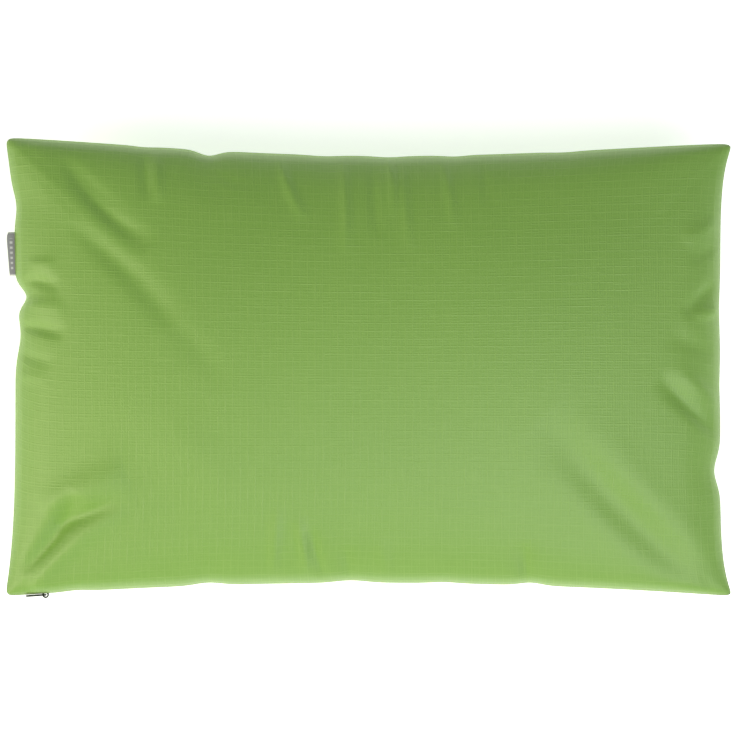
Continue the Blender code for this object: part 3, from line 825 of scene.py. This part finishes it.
def stitchRow(name, path, material, replaced, diameter=threads["diameter"]):
    # a row of short rounded stitches along a path
    sides = 6
    shares = np.array(threads["stitchShape"])
    lengths = pathLengths(path)
    pitch = threads["stitch"] + threads["space"]
    verts, faces = [], []
    for number in range(int(lengths[-1] / pitch)):
        start = number * pitch
        points = alongPath(path, lengths, start + shares * threads["stitch"])
        tube, tubeFaces = tubeAlong(points, diameter / 2, sides)
        for ring in (0, len(shares) - 1):
            middle = Vector(points[ring])
            for k in range(ring * sides, (ring + 1) * sides):
                tube[k] = middle + (tube[k] - middle) * threads["stitchEnds"]
        faces += [[k + len(verts) for k in face] for face in tubeFaces]
        verts += tube
    newPiece(name, verts, faces, material, "pillow", replaced)


def sewnPath(inset, scale=(1.0, 1.0)):
    # the seam round the three sewn sides, from the lower right corner to the lower left, set in by an inset
    outline = sheets[1]
    start = max(1, round(2 * inset / cover["grid"]))
    countX, countY = outline.shape[:2]
    right = [outline[-1, j, :2] - np.array([inset, 0]) for j in range(start, countY - start)]
    top = [outline[i, -1, :2] - np.array([0, inset]) for i in range(countX - 1 - start, start, -1)]
    left = [outline[0, j, :2] + np.array([inset, 0]) for j in range(countY - 1 - start, start, -1)]
    path = np.array(right + top + left) * np.array(scale)
    return np.column_stack([path, np.full(len(path), seamZ)])


def edgingPiece(material):
    # the overlock: a thread looping over both raw edges
    path = sewnPath(threads["edgingInset"])
    lengths = pathLengths(path)
    count = int(lengths[-1] / threads["edgingPitch"])
    steps = threads["edgingSteps"]
    loops = []
    for k in range(count * steps):
        distance = k / steps * threads["edgingPitch"]
        point = alongPath(path, lengths, distance)
        ahead = alongPath(path, lengths, distance + 1 * mm) - alongPath(path, lengths, distance - 1 * mm)
        inward = np.array([-ahead[1], ahead[0], 0]) / (np.linalg.norm(ahead[:2]) + 1e-9)
        turn = 2 * math.pi * k / steps
        rise = np.array([0, 0, threads["edgingRise"] * math.sin(turn)])
        loops.append(point + inward * threads["edgingWidth"] / 2 * math.cos(turn) + rise)
    verts, faces = tubeAlong(loops, threads["edgingThread"], sides=4)
    replaced = ["cover_overlock_edging"]
    newPiece("overlock_edging", verts, faces, material, "pillow", replaced)


greenThread = threadMaterial("corespun polyester thread, green", "#567c33", "#6d9645")
whiteThread = threadMaterial("corespun polyester thread, white", "#d2d2ce", "#efefec")
stitchRow("seam_stitches", sewnPath(threads["seamInset"]), greenThread, ["cover_seam_thread"])
edgingPiece(greenThread)
caseSeam = 0.002  # the seam runs this share inside the case's edge
casePath = sewnPath(0.0, scale=(insert["caseScale"][0] - caseSeam, insert["caseScale"][1] - caseSeam))
stitchRow("insert_stitches", casePath, whiteThread, ["insert_case_thread"])
print("threads made")

# the zip: coils in the cover's mouth, with their tapes and stitch rows behind its lips
zipLook = {
    "coilPitch": 1.3 * mm,
    "wire": 0.5 * mm,
    "coilDepth": 1.7 * mm,
    "coilLow": 0.42 * mm,  # from the seam's plane to each coil, clear of the slider's neck
    "tapeThickness": 0.4 * mm,
    "tapeInsets": (6.0 * mm, 9.0 * mm, 13.5 * mm),
    "tapeUnder": (1.6 * mm, 1.1 * mm),  # how far it lies under the panel at its second and third inset
    "tapeRise": 0.75 * mm,  # its height over the seam at the coil
    "tapeLow": 0.9 * mm,
    "tapeStations": 120,
    "tapeHalf": coilHalf + 3.0 * mm,
    "rowInset": 12.2 * mm,
    "rowHalf": coilHalf - 9.0 * mm,  # the stitches stop before the panels' narrow corners
    "rowUnder": 0.8 * mm,
    "rowThread": 0.3 * mm,
    "rowStations": 150,
}
coilFar = coilHigh[1] - zipCentreY - zipRadius  # how far in from the seam's arc the coil's back lies


def zipPoint(along, inset, z):
    turn = along / zipRadius
    reach = zipRadius + inset
    return (reach * math.sin(turn), zipCentreY + reach * math.cos(turn), seamZ + z)


def coilPiece(side, name, replaced, material):
    middle = coilFar - zipLook["coilDepth"] / 2
    inRadius = (zipLook["coilDepth"] - zipLook["wire"]) / 2
    low = zipLook["coilLow"] + zipLook["wire"] / 2
    high = coilHigh[2] - seamZ - zipLook["wire"] / 2
    turns = int(2 * coilHalf / zipLook["coilPitch"]) - 1
    steps = 10
    phase, lead = (0.25, 0.5) if side > 0 else (0.75, 1.0)  # the two coils' turns lie between each other
    points = []
    for k in range(turns * steps):
        turn = 2 * math.pi * (k / steps + phase)
        along = -coilHalf + (k / steps + lead) * zipLook["coilPitch"]
        z = low + (high - low) / 2 * (1 + math.sin(turn))
        points.append(zipPoint(along, middle + inRadius * math.cos(turn), side * z))
    verts, faces = tubeAlong(points, zipLook["wire"] / 2, sides=5)
    newPiece(name, verts, faces, material, "pillow", replaced)


def underPanel(side, along, inset):
    # the cover's inner height over the seam, at a distance along the zip and an inset from its edge
    sheet = dressed[side]
    column = np.argmin(np.abs(sheet[:, 0, 0] - along))
    nearSeam = 16  # grid points from the edge, well past the tape
    rows = sheet[column, :nearSeam]
    depth = rows[:, 1] - (zipCentreY + math.sqrt(zipRadius**2 - along**2))
    return abs(np.interp(inset, depth, rows[:, 2]) - seamZ) - cover["thickness"]


def tapePiece(side, name, replaced, material):
    stations = np.linspace(-zipLook["tapeHalf"], zipLook["tapeHalf"], zipLook["tapeStations"])
    verts, faces = [], []
    insets = zipLook["tapeInsets"]
    for along in stations:
        heights = [zipLook["tapeRise"]]
        for inset, under in zip(insets[1:], zipLook["tapeUnder"]):
            heights.append(max(zipLook["tapeLow"], underPanel(side, along, inset) - under))
        layer = [zipPoint(along, inset, side * z) for inset, z in zip(insets, heights)]
        verts += layer
        # its other face is set off along the slant that the tape lies at
        thick = zipLook["tapeThickness"]
        verts += [(x, y + thick * 0.7, z - side * thick * 0.5) for x, y, z in layer]
    ring = (0, 1, 2, 5, 4, 3, 0)
    count = len(ring) - 1
    for k in range(len(stations) - 1):
        a, b = k * count, (k + 1) * count
        for m, n in zip(ring, ring[1:]):
            faces.append([a + m, b + m, b + n, a + n])
    last = (len(stations) - 1) * count
    faces += [[0, 1, 4, 3], [1, 2, 5, 4]]
    faces += [[last, last + 3, last + 4, last + 1], [last + 1, last + 4, last + 5, last + 2]]
    piece = newPiece(name, verts, faces, material, "pillow", replaced, smooth=False)
    faceOut(piece)


def faceOut(piece):
    bm = bmesh.new()
    bm.from_mesh(piece.data)
    bmesh.ops.recalc_face_normals(bm, faces=bm.faces)
    if bm.calc_volume(signed=True) < 0:
        bmesh.ops.reverse_faces(bm, faces=bm.faces)
    bm.to_mesh(piece.data)
    bm.free()


def tapeMaterial():
    # woven polyester zip tape: matt and dark, with fine ribs, drawn twice as coarse as real ones
    made, tree, shader = newMaterial("polyester zip tape, woven herringbone")
    coords = addNode(tree, "TexCoord")
    spacing = {"Vector": coords.outputs["Object"], "Scale": bandScale(0.9817 * mm)}
    ribs = addNode(tree, "TexWave", spacing, bands_direction="X")
    tint = addNode(tree, "Mix", {"Factor": ribs.outputs["Fac"]}, data_type="RGBA")
    tint.inputs["A"].default_value = linearColour("#27331d")
    tint.inputs["B"].default_value = linearColour("#3a4b2b")
    bump = addNode(tree, "Bump", {"Strength": 0.5, "Distance": 0.1 * mm, "Height": ribs.outputs["Fac"]})
    feed(tree, shader, Base_Color=tint.outputs["Result"], Normal=bump.outputs["Normal"])
    shader.inputs["Roughness"].default_value = 0.85
    return made


def coilMaterial():
    # nylon monofilament: smooth, with a soft highlight on each turn
    made, tree, shader = newMaterial("nylon monofilament, dyed dark green")
    coords = addNode(tree, "TexCoord")
    spots = {"Vector": coords.outputs["Object"], "Scale": cellScale(1.667 * mm), "Detail": 2.0}
    streaks = addNode(tree, "TexNoise", spots)
    tint = addNode(tree, "Mix", {"Factor": streaks.outputs["Fac"]}, data_type="RGBA")
    tint.inputs["A"].default_value = linearColour("#2b3a20")
    tint.inputs["B"].default_value = linearColour("#3d5030")
    feed(tree, shader, Base_Color=tint.outputs["Result"])
    shader.inputs["Roughness"].default_value = 0.35
    shader.inputs["IOR"].default_value = 1.53
    return made


def castMetalMaterial():
    # die-cast zinc, painted a dark green-black: satin, with small worn specks, drawn coarser than real ones
    made, tree, shader = newMaterial("die-cast zinc, painted")
    coords = addNode(tree, "TexCoord")
    specks = {"Vector": coords.outputs["Object"], "Scale": cellScale(0.6667 * mm), "Detail": 3.0}
    speck = addNode(tree, "TexNoise", specks)
    wear = {"Value": speck.outputs["Fac"], "From Min": 0.62, "From Max": 0.72, "To Max": 0.6}
    worn = addNode(tree, "MapRange", wear)
    tint = addNode(tree, "Mix", {"Factor": worn.outputs[0]}, data_type="RGBA")
    tint.inputs["A"].default_value = linearColour("#1f2c17")
    tint.inputs["B"].default_value = linearColour("#5d6a50")
    bump = addNode(tree, "Bump", {"Strength": 0.15, "Distance": 0.05 * mm, "Height": speck.outputs["Fac"]})
    feed(tree, shader, Base_Color=tint.outputs["Result"], Normal=bump.outputs["Normal"])
    shader.inputs["Roughness"].default_value = 0.45
    shader.inputs["Metallic"].default_value = 0.3
    return made


def wearMaterial(node, material):
    # a carried-over CAD node takes a better finish
    holder = frame["nodes"][node]
    for materialSlot in holder.material_slots:
        materialSlot.link = "OBJECT"
        materialSlot.material = material


dressed = {side: dressSheet(side) for side in (1, -1)}
zipTape, zipCoil, castMetal = tapeMaterial(), coilMaterial(), castMetalMaterial()
for side, word in ((1, "front"), (-1, "back")):
    coilPiece(side, "coil_" + word, ["zip_coil_" + word], zipCoil)
    tapePiece(side, "tape_" + word, ["zip_tape_" + word], zipTape)
    inset, half = zipLook["rowInset"], zipLook["rowHalf"]
    row = []
    for along in np.linspace(-half, half, zipLook["rowStations"]):
        z = underPanel(side, along, inset) - zipLook["rowUnder"]
        row.append(zipPoint(along, inset, side * z))
    replaced = ["zip_stitching_" + word]
    stitchRow("zip_row_" + word, np.array(row), greenThread, replaced, zipLook["rowThread"])
for node in ("zip_slider", "zip_pull_tab", "zip_end_stop_left", "zip_end_stop_right"):
    wearMaterial(node, castMetal)
print("zip made")

# the side label and the care label
label = {
    "width": 29 * mm,
    "reach": 4.5 * mm,  # out of the seam to the fold
    "root": 3.0 * mm,  # caught in the seam
    "cloth": 0.35 * mm,
    "layerGap": 0.5 * mm,
    "lean": 0.9 * mm,  # it stands out a little more at its upper end
    "bevel": 1.2 * mm,  # its upper corner is worn off
    "wornFrom": 0.8,  # from this share of its half width
    "bow": 0.5 * mm,
    "rows": 14,
    "weft": 0.6283 * mm,  # real weft is about 0.15 mm apart, too fine to show
    "barPitch": 3.4 * mm,
    "barShare": 0.45,
    "barFrom": 1.3 * mm,
    "barTo": 3.0 * mm,
    "barReach": 10.5 * mm,
    "selvedge": 13.6 * mm,
}


def labelMaterial():
    # damask-woven polyester label: grey, dull, with fine weft ribs, a paler selvedge and a row of plain bars
    made, tree, shader = newMaterial("damask woven polyester label, grey")
    cut = addNode(tree, "UVMap", uv_map="weave")
    place = addNode(tree, "SeparateXYZ", {0: cut.outputs["UV"]})
    ribs = {"Vector": cut.outputs["UV"], "Scale": bandScale(label["weft"])}
    weft = addNode(tree, "TexWave", ribs, bands_direction="Y")
    tint = addNode(tree, "Mix", {"Factor": weft.outputs["Fac"]}, data_type="RGBA")
    tint.inputs["A"].default_value = linearColour("#8c8c92")
    tint.inputs["B"].default_value = linearColour("#a8a8ad")
    bars = addNode(tree, "Math", {0: place.outputs["Y"], 1: label["barPitch"]}, operation="DIVIDE")
    bars = addNode(tree, "Math", {0: bars.outputs[0]}, operation="FRACT")
    bars = addNode(tree, "Math", {0: bars.outputs[0], 1: label["barShare"]}, operation="LESS_THAN")
    low = addNode(tree, "Math", {0: place.outputs["X"], 1: label["barFrom"]}, operation="GREATER_THAN")
    high = addNode(tree, "Math", {0: place.outputs["X"], 1: label["barTo"]}, operation="LESS_THAN")
    fromEnd = addNode(tree, "Math", {0: place.outputs["Y"]}, operation="ABSOLUTE")
    inside = addNode(tree, "Math", {0: fromEnd.outputs[0], 1: label["barReach"]}, operation="LESS_THAN")
    both = addNode(tree, "Math", {0: low.outputs[0], 1: high.outputs[0]}, operation="MULTIPLY")
    both = addNode(tree, "Math", {0: both.outputs[0], 1: inside.outputs[0]}, operation="MULTIPLY")
    both = addNode(tree, "Math", {0: both.outputs[0], 1: bars.outputs[0]}, operation="MULTIPLY")
    edge = addNode(tree, "Math", {0: fromEnd.outputs[0], 1: label["selvedge"]}, operation="GREATER_THAN")
    pale = addNode(tree, "Math", {0: both.outputs[0], 1: edge.outputs[0]}, operation="MAXIMUM")
    marked = addNode(tree, "Mix", data_type="RGBA")
    tree.links.new(pale.outputs[0], marked.inputs["Factor"])
    tree.links.new(tint.outputs["Result"], marked.inputs["A"])
    marked.inputs["B"].default_value = linearColour("#d6d6d9")
    height = addNode(tree, "Math", {0: weft.outputs["Fac"], 1: pale.outputs[0]}, operation="ADD")
    bump = addNode(tree, "Bump", {"Strength": 0.5, "Distance": 0.08 * mm, "Height": height.outputs[0]})
    feed(tree, shader, Base_Color=marked.outputs["Result"], Normal=bump.outputs["Normal"])
    shader.inputs["Roughness"].default_value = 0.75
    shader.inputs["Sheen Weight"].default_value = 0.3
    return made


def satinMaterial():
    # polyester satin care label: white and smooth, with a painted highlight along its floats, drawn coarser
    # than real ones
    made, tree, shader = newMaterial("polyester satin ribbon, white")
    coords = addNode(tree, "TexCoord")
    spacing = {"Vector": coords.outputs["Object"], "Scale": bandScale(0.7854 * mm)}
    floats = addNode(tree, "TexWave", spacing, bands_direction="Y")
    # the raised floats are drawn paler than the ground between them: a painted highlight
    tint = addNode(tree, "Mix", {"Factor": floats.outputs["Fac"]}, data_type="RGBA")
    tint.inputs["A"].default_value = linearColour("#dedede")
    tint.inputs["B"].default_value = linearColour("#f4f4f3")
    bump = addNode(tree, "Bump", {"Strength": 0.2, "Distance": 0.04 * mm, "Height": floats.outputs["Fac"]})
    feed(tree, shader, Base_Color=tint.outputs["Result"], Normal=bump.outputs["Normal"])
    shader.inputs["Roughness"].default_value = 0.35
    return made


def sideLabelPiece():
    # one ribbon folded back on itself: its cut ends are in the seam and its fold stands out of the side
    low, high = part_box("side_label")
    middleY = (low[1] + high[1]) / 2
    outline = sheets[1][0]
    half = label["layerGap"] / 2
    steps = 8
    section = []  # (distance out of the seam, height, length along the ribbon)
    for step in range(steps + 1):
        out = -label["root"] + (label["reach"] + label["root"] - half) * step / steps
        section.append((out, half, label["root"] + out))
    for step in range(1, steps):
        turn = math.pi * (0.5 - step / steps)
        out = label["reach"] - half + half * math.cos(turn)
        section.append((out, half * math.sin(turn), label["reach"] + label["root"]))
    for step in range(steps, -1, -1):
        out = -label["root"] + (label["reach"] + label["root"] - half) * step / steps
        section.append((out, -half, label["root"] + out))
    rows = label["rows"]
    verts, flat, faces = [], [], []
    for row in range(rows + 1):
        share = row / rows * 2 - 1
        y = middleY + share * label["width"] / 2
        edgeX = np.interp(y, outline[:, 1], outline[:, 0])
        seamX = np.interp(middleY, outline[:, 1], outline[:, 0])
        startX = 0.5 * (edgeX + seamX)
        worn = label["bevel"] * max(0.0, share - label["wornFrom"]) / (1 - label["wornFrom"])
        for out, z, run in section:
            outer = max(0.0, out / label["reach"])
            bend = label["bow"] * math.sin(2.3 * share + 0.4) * outer
            out += (label["lean"] * share - worn) * outer
            verts.append((startX - out, y, seamZ + z + bend))
            flat.append((run - label["root"], share * label["width"] / 2))
    count = len(section)
    for row in range(rows):
        for k in range(count - 1):
            a = row * count + k
            faces.append([a, a + 1, a + count + 1, a + count])
    material = labelMaterial()
    piece = newPiece("woven_side_label", verts, faces, material, "pillow", ["side_label"])
    layer = piece.data.uv_layers.new(name="weave")
    for loop in piece.data.loops:
        layer.data[loop.index].uv = flat[loop.vertex_index]
    thick = piece.modifiers.new("cloth", "SOLIDIFY")
    thick.thickness = label["cloth"]
    thick.offset = 0


sideLabelPiece()
wearMaterial("care_label", satinMaterial())
print("labels made")
